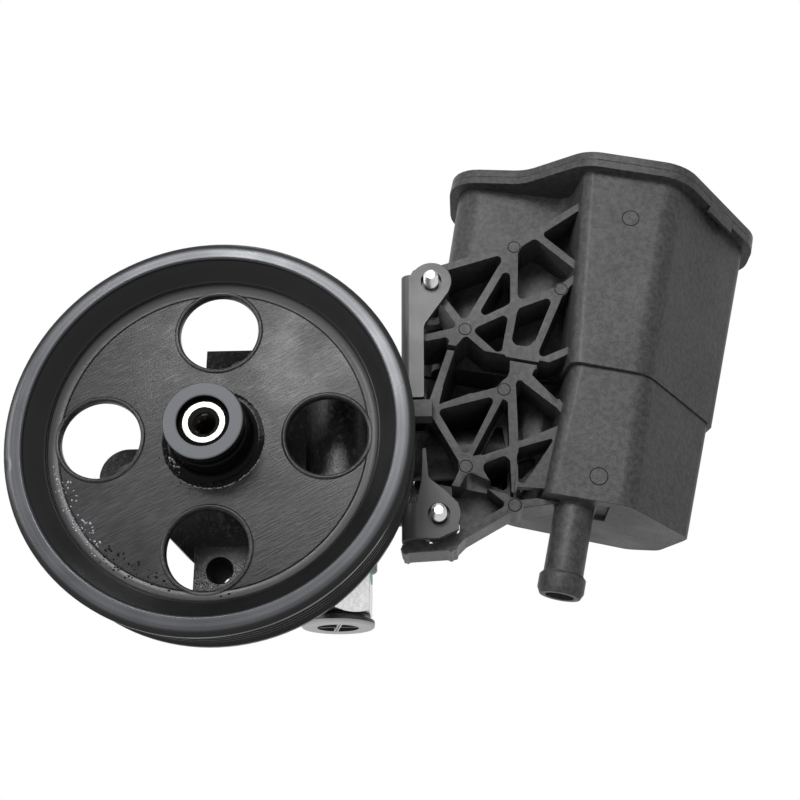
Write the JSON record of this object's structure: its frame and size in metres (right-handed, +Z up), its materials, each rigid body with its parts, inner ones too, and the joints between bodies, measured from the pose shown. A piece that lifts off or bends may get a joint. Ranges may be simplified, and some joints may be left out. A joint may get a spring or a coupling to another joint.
{
  "type": "power steering pump",
  "caption": "Belt-driven vane pump for power steering, with a dished multi-groove pulley, a stamped bracket and a leaning ribbed plastic fluid reservoir.",
  "frame": {"origin": "on the shaft line, in the plane of the mounting ears' rear faces, midway between the upper and the lower ear hole", "axes": "+Y along the shaft from the pulley to the pump's rear cover, +Z up as the part is fitted, +X towards the reservoir"},
  "size_m": [0.3011, 0.1166, 0.2181],
  "materials": {
    "pulley_paint": "gloss",
    "hub_paint": "gloss",
    "shaft_steel": "machined",
    "hard_steel": "ground",
    "spring_steel": "satin",
    "casting": "satin",
    "bronze": "satin",
    "seal_rubber": "matte",
    "port_seal": "satin",
    "bracket_paint": "satin",
    "zinc": "satin",
    "fitting_zinc": "satin",
    "plug_plastic": "satin",
    "tank_plastic": "matte",
    "cap_plastic": "matte"
  },
  "bodies": {
    "pump": {"pump_housing": "casting", "shaft_seal": "seal_rubber", "shaft_bush": "bronze", "thrust_plate": "hard_steel", "cam_ring": "hard_steel", "pressure_plate": "hard_steel", "dowel_pins": "hard_steel", "plate_spring": "spring_steel", "rear_cover": "casting", "cover_o_ring": "seal_rubber", "cover_ring": "spring_steel", "valve_spring": "spring_steel", "outlet_fitting": "fitting_zinc", "fitting_o_ring": "port_seal", "inlet_o_ring": "seal_rubber", "reservoir_bracket": "bracket_paint", "bracket_bolts": "zinc", "clinch_nuts": "zinc", "bolt_sleeves": "zinc", "reservoir_bolts": "zinc", "reservoir_upper": "tank_plastic", "reservoir_lower": "tank_plastic", "reservoir_lid": "tank_plastic"},
    "drive": {"pulley_rim": "pulley_paint", "pulley_web": "pulley_paint", "pulley_hub": "hub_paint", "drive_shaft": "shaft_steel", "rotor": "hard_steel", "vanes": "hard_steel", "rotor_ring": "spring_steel"},
    "flow_valve": {"valve_spool": "hard_steel", "relief_ball": "hard_steel", "relief_spring": "spring_steel", "relief_seat": "hard_steel"},
    "cap": {"filler_cap": "cap_plastic", "cap_gasket": "seal_rubber", "dipstick": "cap_plastic"},
    "plug": {"outlet_plug": "plug_plastic"}
  },
  "joints": [
    {"name": "pulley_spin", "type": "hinge", "parent": "pump", "child": "drive", "pos_m": [0, 0, 0], "axis": [0, 1, 0], "continuous": true},
    {"name": "spool_slide", "type": "slide", "parent": "pump", "child": "flow_valve", "axis": [0, 0, 1], "range_m": [0, 0.006], "stiffness_N_per_m": 2000, "springref_m": -0.004, "deforming": ["valve_spring"]},
    {"name": "cap_turn", "type": "hinge", "parent": "pump", "child": "cap", "pos_m": [0.17678, 0.007, 0.12947], "axis": [0.2079, 0, 0.9781], "range_deg": [0, 90]},
    {"name": "plug_pull", "type": "slide", "parent": "pump", "child": "plug", "axis": [0, 0, -1], "range_m": [0, 0.025]}
  ]
}
